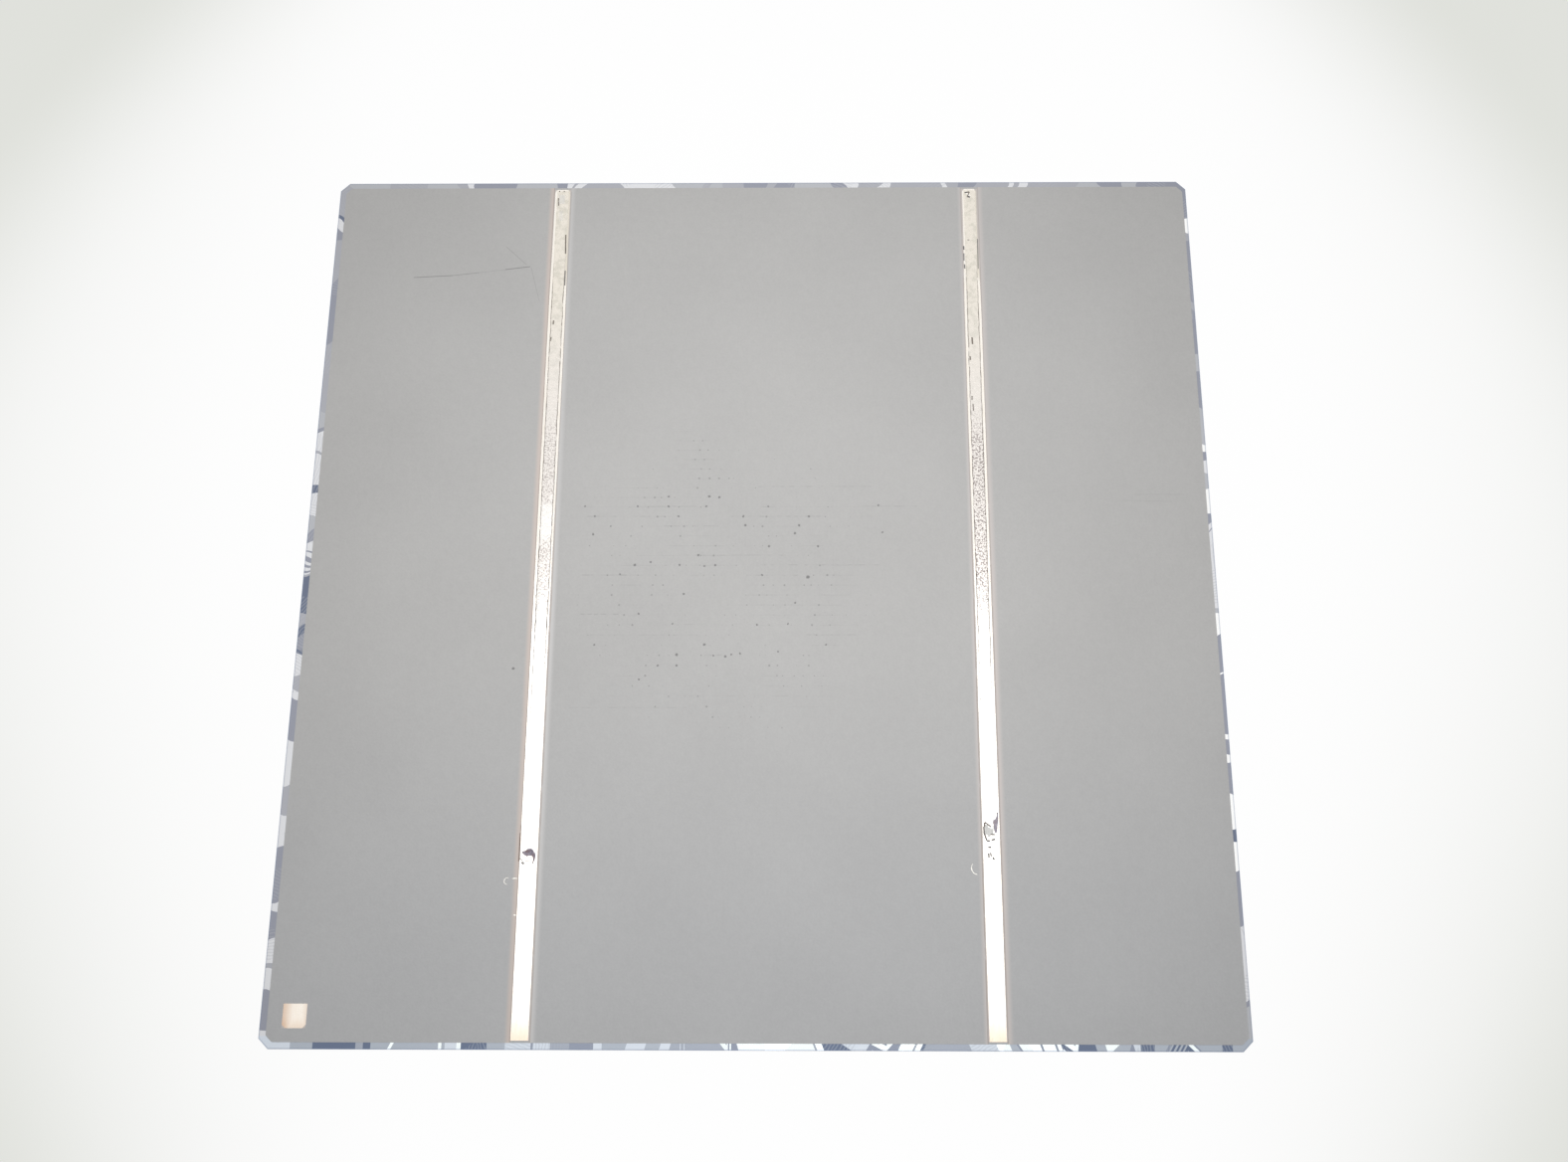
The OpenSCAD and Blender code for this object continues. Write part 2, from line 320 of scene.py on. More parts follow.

# %% [markdown]
# The wafer was sawn from a cast block, so it is a patchwork of crystals that each mirror the light
# their own way. At the rear only a narrow rim of it shows. A Voronoi pattern would give crystals, but
# not these, so the rows below tell them one by one: where a crystal starts along its side, in
# millimetres, and one of six tones. The tones are partly the crystals' own and partly painted
# reflection: how brightly each crystal mirrors the light is painted into its colour. Colour ramps turn
# such a row into blocks. On the near side, which is seen best, the borders lean by what is told too: a
# shift along the side for each millimetre away from the edge. On the other sides a soft noise leans them.

# %% Tell the crystals of the rim
# painted reflection: the six tones stand partly for how brightly each crystal mirrors the light
WHITE, PALE, LIGHT = (0.96, 0.98, 1.0), (0.82, 0.83, 0.86), (0.52, 0.535, 0.57)
GREY, SLATE, NAVY = (0.455, 0.465, 0.51), (0.335, 0.35, 0.415), (0.155, 0.185, 0.265)
NEAR_CRYSTALS = (
    (-78, PALE), (-73, LIGHT), (-69.5, NAVY), (-62.7, GREY), (-61.5, NAVY), (-60.4, LIGHT),
    (-57.5, WHITE), (-57, LIGHT), (-49.7, WHITE), (-49.2, LIGHT), (-48.6, PALE), (-46.8, WHITE),
    (-46.2, NAVY), (-42, LIGHT), (-39.2, PALE), (-35.2, SLATE), (-34.7, PALE), (-32.1, GREY),
    (-29, SLATE), (-25.3, PALE), (-24, LIGHT), (-20.2, PALE), (-17.2, LIGHT), (-14.8, PALE),
    (-13.2, GREY), (-11.7, PALE), (-11.5, GREY), (-11.1, PALE), (-10.9, GREY), (-5, WHITE),
    (-4.2, SLATE), (-3.95, WHITE), (-3.6, SLATE), (-2.6, WHITE), (9.4, GREY), (9.7, WHITE),
    (10.7, NAVY), (14.5, PALE), (17.75, SLATE), (19.25, WHITE), (21.05, SLATE), (22.65, WHITE),
    (24.9, GREY), (25.15, WHITE), (26.15, NAVY), (26.6, GREY), (33.7, PALE), (38, WHITE),
    (40.2, LIGHT), (41.4, SLATE), (41.7, WHITE), (44.85, SLATE), (45.2, WHITE), (47.15, SLATE),
    (47.5, WHITE), (48.1, NAVY), (49.25, WHITE), (50.7, NAVY), (53.5, LIGHT), (55.05, WHITE),
    (56.55, LIGHT), (58.8, SLATE), (59.4, PALE), (60.35, NAVY), (62.6, LIGHT), (64.5, SLATE),
    (64.95, LIGHT), (65.3, NAVY), (65.7, LIGHT), (66.05, NAVY), (66.45, LIGHT), (66.8, NAVY),
    (67.15, LIGHT), (67.45, NAVY), (68.35, WHITE), (69.1, SLATE), (69.5, LIGHT), (73.1, NAVY),
    (74.7, LIGHT),
)
FAR_CRYSTALS = (
    (-78, GREY), (-76.5, LIGHT), (-69, GREY), (-62, LIGHT), (-56.5, GREY), (-54.6, PALE),
    (-53.6, SLATE), (-45.5, LIGHT), (-38, SLATE), (-36.2, PALE), (-35, GREY), (-34.4, PALE),
    (-33, GREY), (-26, PALE), (-16.5, LIGHT), (-11, GREY), (-9.5, LIGHT), (-7.5, GREY),
    (-3.5, SLATE), (1, GREY), (2.5, SLATE), (6, LIGHT), (12.8, SLATE), (15.4, PALE),
    (17.7, GREY), (22, PALE), (23.6, GREY), (33, PALE), (34, GREY), (36.2, SLATE),
    (39.3, GREY), (45.5, PALE), (46.5, GREY), (47.4, PALE), (49, GREY), (58.2, LIGHT),
    (62, SLATE), (66.2, LIGHT), (69, SLATE),
)
LEFT_CRYSTALS = (
    (-78, PALE), (-75.3, SLATE), (-69, PALE), (-65.5, GREY), (-64.8, PALE), (-61, SLATE),
    (-56.5, PALE), (-55.2, SLATE), (-46.1, PALE), (-41, GREY), (-36, PALE), (-28.4, SLATE),
    (-21.2, PALE), (-19.6, GREY), (-17.2, PALE), (-13.2, NAVY), (-12.4, SLATE), (-10, NAVY),
    (-8.2, GREY), (-6, NAVY), (0.6, GREY), (1, PALE), (1.3, SLATE), (1.7, PALE), (2.2, SLATE),
    (2.7, PALE), (3.3, SLATE), (4.2, PALE), (5.1, SLATE), (5.4, PALE), (6.9, SLATE), (9, LIGHT),
    (12, PALE), (16, NAVY), (17.6, PALE), (23.5, GREY), (24, PALE), (27.6, SLATE), (28.5, LIGHT),
    (31.5, GREY), (45, SLATE), (57.5, GREY), (66, SLATE), (68, PALE), (70.4, NAVY), (71.2, GREY),
)
RIGHT_CRYSTALS = (
    (-78, LIGHT), (-71.2, SLATE), (-70.4, PALE), (-58.7, SLATE), (-50, WHITE), (-45.2, NAVY),
    (-43, WHITE), (-37.2, SLATE), (-32, WHITE), (-30.6, SLATE), (-28, WHITE), (-27.2, SLATE),
    (-16.9, WHITE), (-16.5, SLATE), (-10.1, WHITE), (-6.1, LIGHT), (-5, PALE), (8.7, SLATE),
    (9.1, PALE), (10, SLATE), (12.2, WHITE), (16.5, LIGHT), (19.8, PALE), (22, SLATE),
    (23.8, WHITE), (25.1, LIGHT), (32.2, SLATE), (39.2, LIGHT), (42.5, SLATE), (51.5, GREY),
    (53, SLATE), (65.5, GREY), (67.3, WHITE), (70.2, SLATE),
)
NEAR_LEANS = (
    (-78, 0), (-58.5, -0.5), (-55, 0), (-22, -0.3), (-12.5, 0), (-6.5, 0.8), (-4.5, 0),
    (-3.2, 0.3), (5, 0.4), (12, 1.55), (16, -0.6), (18.15, 2), (20.35, -0.95), (21.8, -0.5),
    (30, 0.45), (40.8, 0.7), (43, 0.35), (48.3, 1.43), (50.2, -0.15), (52, 0.3), (55.8, -1.1),
    (57.8, -0.3), (59.1, 0.3), (60, 0), (63.5, -0.6), (67.7, 1), (71, 0),
)
LEAN_RANGE = 8
LEAN_SIZE, LEAN = 6.0, 5.0
RIM_MIDDLE = 0.5
RAMP_STOPS = 16
wafer_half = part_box("silicon_wafer")[1].x / MM


def crystal_row(along, crystals):
    """The tones of one row of crystals. A ramp is coarse, so a row takes several short ones."""
    row = None
    for first in range(0, len(crystals), RAMP_STOPS):
        part = crystals[first:first + RAMP_STOPS]
        rest = crystals[first + RAMP_STOPS:]
        low, high = part[0][0], rest[0][0] if rest else wafer_half
        share = (along - low) / (high - low)
        stops = [((start - low) / (high - low), tone) for start, tone in part]
        ramp = share.node("ShaderNodeValToRGB", {"stops": stops}, {0: share})
        row = blend(along > low, row, ramp) if row else ramp
    return row


def rim_crystals(place, x, y, to_side):
    """The tones of the bare rim, partly painted reflection: one row of crystals for each side, with
    leaning borders.
    """
    lean = waves(place, LEAN_SIZE, 0.0) * LEAN * (to_side - RIM_MIDDLE)
    lean_stops = [(start, (0.5 + told / LEAN_RANGE,) * 3) for start, told in NEAR_LEANS]
    near_lean = (crystal_row(x, lean_stops) - 0.5) * LEAN_RANGE * (to_side - RIM_MIDDLE)
    near = crystal_row(x + near_lean, NEAR_CRYSTALS)
    near_far = blend(y > 0, near, crystal_row(x + lean, FAR_CRYSTALS))
    sides = blend(x > 0, crystal_row(y + lean, LEFT_CRYSTALS), crystal_row(y + lean, RIGHT_CRYSTALS))
    return blend(abs(x) > abs(y), near_far, sides)


rim_rows = (NEAR_CRYSTALS, FAR_CRYSTALS, LEFT_CRYSTALS, RIGHT_CRYSTALS)
print("crystals told:", [len(row) for row in rim_rows])

# %% [markdown]
# The sunny side and the edges carry a deep blue coat, so the shader asks which way a face looks. There
# a Voronoi pattern gives straight-sided patches with one random tone each, and fine twin lines cross
# some of them. Where the ribbon tore a piece out of the silver, broken silicon lies open, dark, brown
# and rough. All this could be three materials, but it is one wafer, so masks choose within one.

# %% Finish the wafer
CRYSTAL_SIZE = 5.0
TWIN_PITCH, TWIN_BEND_SIZE, TWIN_BEND = 0.5, 1.5, 8
TWIN_OVER, TWIN_CHANCE, TWIN_SHARE, TWIN_SHIFT = 0.4, 0.7, 0.35, 0.45
MIRROR_OVER = 0.95
NEAR_TINT, NEAR_RIM = (0.93, 1.0, 1.07), -76
BLUE_STOPS = (
    (0.0, (0.008, 0.02, 0.1)),
    (0.25, (0.012, 0.035, 0.16)),
    (0.5, (0.02, 0.055, 0.22)),
    (0.75, (0.035, 0.085, 0.3)),
)
BROKEN_DARK, BROKEN_LIGHT, BROKEN_BROWN = (0.2, 0.18, 0.23), (0.4, 0.37, 0.43), (0.25, 0.15, 0.14)
BROKEN_PALE = (0.55, 0.52, 0.57)
BROKEN_SIZE, BROKEN_EDGES = 0.3, (0.4, 0.65)
BROWN_SIZE, BROWN_EDGES, BROWN_SHARE = 0.55, (0.45, 0.6), 0.6
RIGHT_PIT_SHARE = 0.4
EDGE_BLUE, EDGE_WIDTH, EDGE_SHARE = (0.2, 0.26, 0.4), 0.25, 0.6
RIM_REACH = 3
CORNER_CUT = 1.6
FACE_TURN = 0.5
WAFER_ROUGH, WAFER_ROUGH_SPREAD, PIT_ROUGH, MIRROR_SMOOTH = 0.3, 0.2, 0.5, 0.2
WAFER_METAL, MIRROR_METAL = 0.1, 0.85


def broken_silicon(place, x):
    """The colour of the torn pits, paler in the right one."""
    broken = blend(fade(clouds(place, BROKEN_SIZE), *BROKEN_EDGES), BROKEN_DARK, BROKEN_LIGHT)
    broken = blend(fade(clouds(place, BROWN_SIZE), *BROWN_EDGES) * BROWN_SHARE, broken, BROKEN_BROWN)
    return blend((x > 0) * RIGHT_PIT_SHARE, broken, BROKEN_PALE)


def silicon_finish():
    material, shader, place = finish("cast_silicon")
    x, y = axis(place, "X"), axis(place, "Y")
    to_side = wafer_half - (abs(x) | abs(y))
    to_corner = ((2 * wafer_half - CORNER_CUT) - (abs(x) + abs(y))) / math.sqrt(2)
    rear = rim_crystals(place, x, y, to_side)
    cells = {"Vector": place, "Scale": 1 / CRYSTAL_SIZE}
    crystal = place.node("ShaderNodeTexVoronoi", {"voronoi_dimensions": "2D"}, cells, "Color")
    tone, chance = channel(crystal, 0), channel(crystal, 2)
    turn = channel(crystal, 1) * math.tau
    across = x * turn.math("COSINE", turn) + y * turn.math("SINE", turn)
    bend = clouds(place, TWIN_BEND_SIZE) * TWIN_BEND
    ripple = across.math("SINE", across * (math.tau / TWIN_PITCH) + bend)
    twins = (ripple > TWIN_OVER) & (chance > TWIN_CHANCE)
    bright = channel(rear, 0) > MIRROR_OVER
    rear = blend(twins * TWIN_SHARE * (1 - bright), rear, LIGHT)
    rear = blend(y < NEAR_RIM, rear, times(rear, NEAR_TINT))
    rear = blend((1 - fade(to_side & to_corner, 0, EDGE_WIDTH)) * EDGE_SHARE, rear, EDGE_BLUE)
    torn = to_side > RIM_REACH
    rear = blend(torn, rear, broken_silicon(place, x))
    mixed = tone.math("FRACT", tone + twins * TWIN_SHIFT)
    blue = mixed.node("ShaderNodeValToRGB", {"stops": BLUE_STOPS}, {0: mixed})
    facing = axis(place.node("ShaderNodeTexCoord", None, None, "Normal"), "Z")
    seen_rear = (facing > FACE_TURN) | (torn & (facing > -FACE_TURN))
    mirror = bright & seen_rear & (1 - torn)
    feed(shader, "Base Color", blend(seen_rear, blue, rear))
    rough = WAFER_ROUGH + WAFER_ROUGH_SPREAD * chance + torn * PIT_ROUGH
    feed(shader, "Roughness", rough - mirror * MIRROR_SMOOTH)
    feed(shader, "Metallic", WAFER_METAL - WAFER_METAL * torn + mirror * MIRROR_METAL)
    return material


dress("silicon_wafer", silicon_finish())
print("wafer side, mm:", round(2 * wafer_half, 2))

# %% [markdown]
# A neighbour in the stack has marked the aluminium: its fingers left rows of dark specks, one row for
# each finger, and faint dashes along some rows. Dividing the height by the pitch gives the rows, and a
# one-dimensional Voronoi drops specks at random along each. Noise can't put the largest specks, the
# dashes and the scratches where they are on this cell, so those are read from the photograph and
# listed as pixels.

# %% Place the specks and scratches
ROW_PITCH, ROW_START = 1.79, 0.93
SPECK_SPACING = 1.7
SPECK_RADIUS = 0.24
ROW_SHIFT, SPECK_LEAST = 31.7, 0.001
SPECK_EDGES, PATCH_SIZE, PATCH_EDGES = (0.6, 1.1), 7, (0.42, 0.6)
THIN_EDGES, THIN_SIZE, THIN_PATCHES, THIN_SHARE = (0.03, 0.1), 9, (0.5, 0.65), 0.24
SPECK_MIDDLE, SPECK_REACH = (-6, 0), (30, 34)
SPECK_FADE = (0.35, 1.0)
BIG_SPECKS = (
    ((713, 499), 0.3), ((723, 500), 0.26), ((672, 499), 0.24), ((672, 509), 0.26), ((710, 509), 0.22),
    ((772, 509), 0.22), ((883, 508), 0.22), ((588, 509), 0.22), ((641, 509), 0.22), ((598, 519), 0.22),
    ((682, 519), 0.22), ((747, 519), 0.26), ((813, 519), 0.26), ((614, 529), 0.2), ((749, 528), 0.26),
    ((803, 528), 0.26), ((596, 537), 0.26), ((799, 536), 0.28), ((887, 535), 0.22), ((773, 549), 0.3),
    ((822, 549), 0.28), ((702, 558), 0.24), ((638, 568), 0.3), ((654, 565), 0.22), ((683, 568), 0.26),
    ((708, 569), 0.24), ((719, 568), 0.26), ((766, 578), 0.22), ((623, 577), 0.2), ((812, 580), 0.4),
    ((687, 597), 0.26), ((799, 606), 0.24), ((642, 617), 0.24), ((676, 627), 0.22), ((761, 628), 0.22),
    ((792, 627), 0.22), ((597, 648), 0.22), ((708, 648), 0.3), ((830, 648), 0.22), ((680, 658), 0.32),
    ((717, 659), 0.22), ((729, 660), 0.28), ((735, 658), 0.24), ((744, 657), 0.24), ((782, 655), 0.22),
    ((661, 669), 0.24), ((680, 669), 0.28), ((642, 683), 0.22), ((516, 672), 0.3),
)
SCRATCHES = (
    ((416, 279), (455, 277), 0.1, 0.7), ((455, 277), (482, 274), 0.09, 0.55),
    ((482, 274), (508, 271), 0.08, 0.25), ((508, 271), (533, 268), 0.11, 0.75),
    ((509, 248), (529, 266), 0.07, 0.4), ((534, 269), (542, 303), 0.07, 0.3),
    ((1140, 497), (1190, 497), 0.07, 0.2), ((1128, 503), (1178, 504), 0.07, 0.16),
)
DASH_WIDTH = 0.1
ROW_DASHES = (
    (762, 875, 489, 0.2), (640, 700, 509, 0.16), (762, 838, 509.5, 0.12), (858, 922, 508.8, 0.2),
    (590, 668, 519, 0.2), (735, 830, 519, 0.2), (664, 722, 528.7, 0.2), (688, 790, 558, 0.14),
    (760, 886, 567.8, 0.18), (585, 630, 578, 0.2), (750, 802, 578.2, 0.18), (583, 622, 617.3, 0.25),
    (668, 700, 627.5, 0.15), (590, 704, 638.3, 0.12), (800, 862, 638, 0.18), (708, 730, 658.5, 0.2),
    (690, 806, 699.5, 0.13), (572, 690, 711.3, 0.14),
)
DOT_CORE_SHARE, STROKE_CORE_SHARE = 0.5, 0.4


def dot(place, middle, radius):
    """A mask of one round speck."""
    target = {0: place, 1: (*middle, 0.0)}
    off = place.node("ShaderNodeVectorMath", {"operation": "DISTANCE"}, target, "Value")
    return 1 - fade(off, radius * DOT_CORE_SHARE, radius)


def stroke(x, y, start, end, width):
    """A mask of one straight scratch."""
    run = math.dist(start, end)
    lean_x, lean_y = (end[0] - start[0]) / run, (end[1] - start[1]) / run
    along = (x - start[0]) * lean_x + (y - start[1]) * lean_y
    across = abs((x - start[0]) * lean_y - (y - start[1]) * lean_x)
    return (1 - fade(across, width * STROKE_CORE_SHARE, width)) & (along > 0) & (along < run)


def add_strokes(colour, x, y, strokes, tone):
    """A colour with straight marks of another tone on it."""
    for start, end, width, depth in strokes:
        colour = blend(stroke(x, y, on_cell(start), on_cell(end), width) * depth, colour, tone)
    return colour


def row_dashes(x, y):
    """A mask of the faint dashes along some of the rows."""
    mask = x * 0
    for first, last, height, depth in ROW_DASHES:
        (start, start_y), (end, end_y) = on_cell((first, height)), on_cell((last, height))
        off_row = abs(y - (start_y + end_y) / 2)
        mask = mask | ((off_row < DASH_WIDTH) & (x > start) & (x < end)) * depth
    return mask


def speck_rows(place, x, y):
    """A mask of the specks that lie in rows, thick in the middle of the cell."""
    rows = (y - ROW_START) / ROW_PITCH
    row = rows.math("ROUND", rows)
    off_row = (rows - row) * ROW_PITCH
    line = {"voronoi_dimensions": "1D"}
    spot = {"W": x / SPECK_SPACING + row * ROW_SHIFT, "Scale": 1.0}
    nearest = x.node("ShaderNodeTexVoronoi", line, spot, "Distance") * SPECK_SPACING
    luck = channel(x.node("ShaderNodeTexVoronoi", line, spot, "Color"), 0)
    away = x.math("SQRT", nearest * nearest + off_row * off_row)
    far_x = (x - SPECK_MIDDLE[0]) / SPECK_REACH[0]
    far_y = (y - SPECK_MIDDLE[1]) / SPECK_REACH[1]
    region = 1 - fade(far_x * far_x + far_y * far_y, *SPECK_FADE)
    size = SPECK_RADIUS * luck * region * fade(clouds(place, PATCH_SIZE), *PATCH_EDGES)
    thin = (1 - fade(abs(off_row), *THIN_EDGES)) * fade(clouds(place, THIN_SIZE), *THIN_PATCHES)
    return (1 - fade(away / (size + SPECK_LEAST), *SPECK_EDGES)) | thin * region * THIN_SHARE


print("specks:", len(BIG_SPECKS), "scratches:", len(SCRATCHES), "dashes:", len(ROW_DASHES))

# %% [markdown]
# Beside the slots the print looks paler and a little brown, and a fine dark line runs along its edge.
# The halo could be painted by hand, but it keeps its distance from the slot, so it is worked out from
# the box of each silver bar, less the lap of the print over it. A few darker marks beside the torn end
# of the left bar are strokes.

# %% Colour the edges of the slots
SLOT_LAP = 0.25
HALOS = (
    ("rear_busbar_left", -1, (0.64, 0.565, 0.52), 1.15, 1),
    ("rear_busbar_left", 1, (0.635, 0.625, 0.62), 1.15, 0.72),
    ("rear_busbar_right", -1, (0.61, 0.58, 0.565), 0.85, 0.72),
    ("rear_busbar_right", 1, (0.645, 0.6, 0.58), 1.15, 0.72),
)
HALO_CORE_SHARE, HALO_RUN = 0.25, (-10, 30)
LINE, LINE_RUN, LINE_SHARE = (0.42, 0.36, 0.325), (0.08, 0.2), 0.75
LINE_SIZE, LINE_PATCHES = 2.5, (0.2, 0.5)
EDGE_MARKS = (
    ((524, 829), (523.4, 836), 0.13, 0.6), ((523.2, 837), (522.2, 855), 0.17, 0.8),
    ((522.2, 855), (521.4, 866), 0.15, 0.7),
)
EDGE_MARK = (0.16, 0.1, 0.08)


def beside(x, bar, side):
    """How far outside the slot of a bar a place lies, on its left (-1) or its right (1) side."""
    low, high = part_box(bar)
    edge = (high.x if side > 0 else low.x) / MM - side * SLOT_LAP
    return (x - edge) * side


def slot_edges(colour, place, x, y):
    """The print's colour with the halo and the dark line beside each slot."""
    patchy, near = fade(clouds(place, LINE_SIZE), *LINE_PATCHES), 1 - fade(y, *HALO_RUN)
    for bar, side, halo, reach, far_share in HALOS:
        off = beside(x, bar, side)
        outside = (off > 0) * (far_share + (1 - far_share) * near)
        colour = blend((1 - fade(off, reach * HALO_CORE_SHARE, reach)) * outside, colour, halo)
        colour = blend((1 - fade(off, *LINE_RUN)) * outside * patchy * LINE_SHARE, colour, LINE)
    return add_strokes(colour, x, y, EDGE_MARKS, EDGE_MARK)


print("halos:", len(HALOS), "edge marks:", len(EDGE_MARKS))

# %% [markdown]
# The paste was printed through a screen and fired, which leaves a matte grey skin of fine grains. One
# flat grey would look like card, so noise of three sizes mottles it: wide clouds, small ones and the
# grain, which is raised as bumps too. Towards the near side the grey turns a trace cooler.

# %% Finish the aluminium
GREY_DARK, GREY_LIGHT = (0.445, 0.44, 0.435), (0.565, 0.56, 0.55)
COOL_TINT, COOL_RUN = (0.985, 1.0, 1.025), (-75, 0)
CLOUD_SIZE, CLOUD_SHARE = 26, 0.5
MOTTLE_SIZE, MOTTLE_SHARE = 1.4, 0.25
GRAIN_SIZE, GRAIN_DETAIL, GRAIN_SHARE, GRAIN_HEIGHT = 0.35, 3.0, 0.5, 0.012
SPECK_COLOUR, SPECK_SHARE, ROW_SHARE = (0.1, 0.1, 0.1), 0.62, 0.6
SCRATCH_COLOUR = (0.2, 0.2, 0.2)
WOBBLE_SIZE, WOBBLE = 0.4, 0.3
GAP_SIZE, GAP_EDGES = 0.7, (0.42, 0.62)
PRINT_ROUGH, PRINT_ROUGH_SPREAD, PRINT_GLOSS = 0.6, 0.2, 0.2


def all_specks(place, x, y):
    """A mask of every speck, with the large ones a little out of round."""
    wobble = place.node("ShaderNodeTexNoise", None, {"Vector": place, "Scale": 1 / WOBBLE_SIZE}, "Color")
    shake = {0: wobble, 1: (WOBBLE, WOBBLE, 0), 2: place}
    flat = times(place.node("ShaderNodeVectorMath", {"operation": "MULTIPLY_ADD"}, shake), (1, 1, 0))
    specks = speck_rows(place, x, y) * ROW_SHARE
    for pixel, radius in BIG_SPECKS:
        middle = [where + WOBBLE / 2 for where in on_cell(pixel)]
        specks = specks | dot(flat, middle, radius)
    return specks


def aluminium_finish():
    material, shader, place = finish("fired_aluminium")
    x, y = axis(place, "X"), axis(place, "Y")
    grain = clouds(place, GRAIN_SIZE, GRAIN_DETAIL)
    tone = 0.5 + waves(place, CLOUD_SIZE) * CLOUD_SHARE + waves(place, MOTTLE_SIZE) * MOTTLE_SHARE
    colour = blend(tone + (grain - 0.5) * GRAIN_SHARE, GREY_DARK, GREY_LIGHT)
    colour = blend(1 - fade(y, *COOL_RUN), colour, times(colour, COOL_TINT))
    colour = blend(all_specks(place, x, y) * SPECK_SHARE, colour, SPECK_COLOUR)
    gaps = fade(clouds(place, GAP_SIZE), *GAP_EDGES)
    colour = blend(row_dashes(x, y) * gaps, colour, SCRATCH_COLOUR)
    colour = add_strokes(colour, x, y, SCRATCHES, SCRATCH_COLOUR)
    feed(shader, "Base Color", slot_edges(colour, place, x, y))
    feed(shader, "Roughness", PRINT_ROUGH + PRINT_ROUGH_SPREAD * grain)
    shader.inputs["Specular IOR Level"].default_value = PRINT_GLOSS
    raise_bumps(shader, grain, GRAIN_HEIGHT)
    return material


dress("rear_aluminium", aluminium_finish())
print("aluminium grain, mm:", GRAIN_SIZE)

# %% [markdown]
# Where the ribbon was torn off, thin dark outlines and dull patches stayed on the bars, and the ends
# of the bars carry a few more. They are flat, so they are strokes in the finish and not pieces, and the
# solder's finish repeats them where they cross its edge.

# %% Place the marks of the bars
BAR_MARK, BAR_DULL = (0.06, 0.06, 0.07), (0.7, 0.7, 0.68)
MARK_SPREAD = 0.03
BAR_MARKS = (
    ((988.9, 831), (989.2, 838.4), 0.14, 1), ((989.8, 826.5), (989.3, 831), 0.15, 0.95),
    ((989.8, 826.5), (996, 831), 0.14, 0.9), ((989.4, 838), (992, 845), 0.14, 0.95),
    ((992, 845.3), (995.2, 845.2), 0.16, 0.95), ((996.5, 844.5), (1000.2, 843.6), 0.17, 0.9),
    ((995.5, 838.7), (1000, 839), 0.14, 0.8), ((993.2, 851.6), (996.4, 851.6), 0.17, 0.85),
    ((993.6, 857.5), (994.2, 862.5), 0.15, 0.85), ((995.5, 857), (996.5, 861), 0.14, 0.8),
    ((998, 861.5), (999.4, 864.5), 0.16, 0.9), ((1002.4, 816.5), (1002.8, 825), 0.12, 0.95),
    ((524.3, 866.4), (526.6, 868.6), 0.24, 0.75), ((522.6, 842), (521.7, 864.5), 0.2, 0.6),
    ((522.4, 862.8), (525.4, 865.2), 0.09, 0.6), ((527, 866), (532.5, 865), 0.07, 0.5),
    ((536.6, 863), (535.5, 868), 0.1, 0.9), ((977, 339), (977.5, 346), 0.17, 0.9),
    ((975, 358), (975.5, 362), 0.15, 0.85), ((977, 398), (977, 402), 0.13, 0.85),
    ((978, 406), (978.5, 413), 0.12, 0.85), ((556.5, 322), (556, 326), 0.16, 0.85),
    ((554, 339), (553, 343), 0.14, 0.8), ((568.7, 236), (568.4, 255), 0.13, 0.9),
    ((568, 272), (567.6, 287), 0.13, 0.85), ((968.6, 247.3), (968.8, 251), 0.14, 0.9),
    ((968.8, 254.5), (969, 262), 0.12, 0.8), ((969.4, 265.5), (969.6, 270), 0.13, 0.85),
    ((982.4, 240), (983.2, 270), 0.1, 0.7), ((969.4, 193.6), (974.2, 192.9), 0.13, 1),
    ((974.2, 193), (972.4, 197.2), 0.11, 0.85), ((972, 197.4), (975, 198), 0.2, 1),
    ((972.3, 241.2), (974.3, 241.2), 0.12, 0.7),
    ((561.8, 192.3), (563.2, 192.6), 0.14, 0.8), ((566.5, 192.3), (568, 192.6), 0.12, 0.7),
    ((561.3, 199), (561.6, 207), 0.14, 0.75), ((1001.7, 809.6), (1002.4, 810.4), 0.12, 0.6),
    ((991.5, 602.5), (993.5, 602), 0.14, 0.6), ((985.8, 722), (986.3, 723.5), 0.08, 0.5),
)
DULL_PATCHES = (
    ((991.5, 829), (991.5, 839), 0.34, 1), ((994, 831.5), (994, 841), 0.34, 0.9),
    ((996.8, 833), (996.8, 839), 0.34, 1), ((565, 196), (564.5, 205), 0.75, 0.5),
    ((564, 212), (564, 222), 0.45, 0.35), ((1000, 824), (999.5, 833), 0.3, 0.8),
    ((999.6, 892.5), (1000.4, 894.5), 0.17, 0.4), ((998.6, 932), (999, 942), 0.1, 0.35),
    ((997.8, 950), (998.4, 956), 0.12, 0.4),
)
MARK_SIZE, MARK_GAPS = 0.4, (0.1, 0.35)


def bar_marks(place, x, y, marks):
    """A mask of marks on the bars, broken up a little."""
    mask = x * 0
    for first, last, width, depth in marks:
        mask = mask | stroke(x, y, on_cell(first), on_cell(last), width + MARK_SPREAD) * depth
    return mask * fade(clouds(place, MARK_SIZE), *MARK_GAPS)


print("marks:", len(BAR_MARKS), "dull patches:", len(DULL_PATCHES))
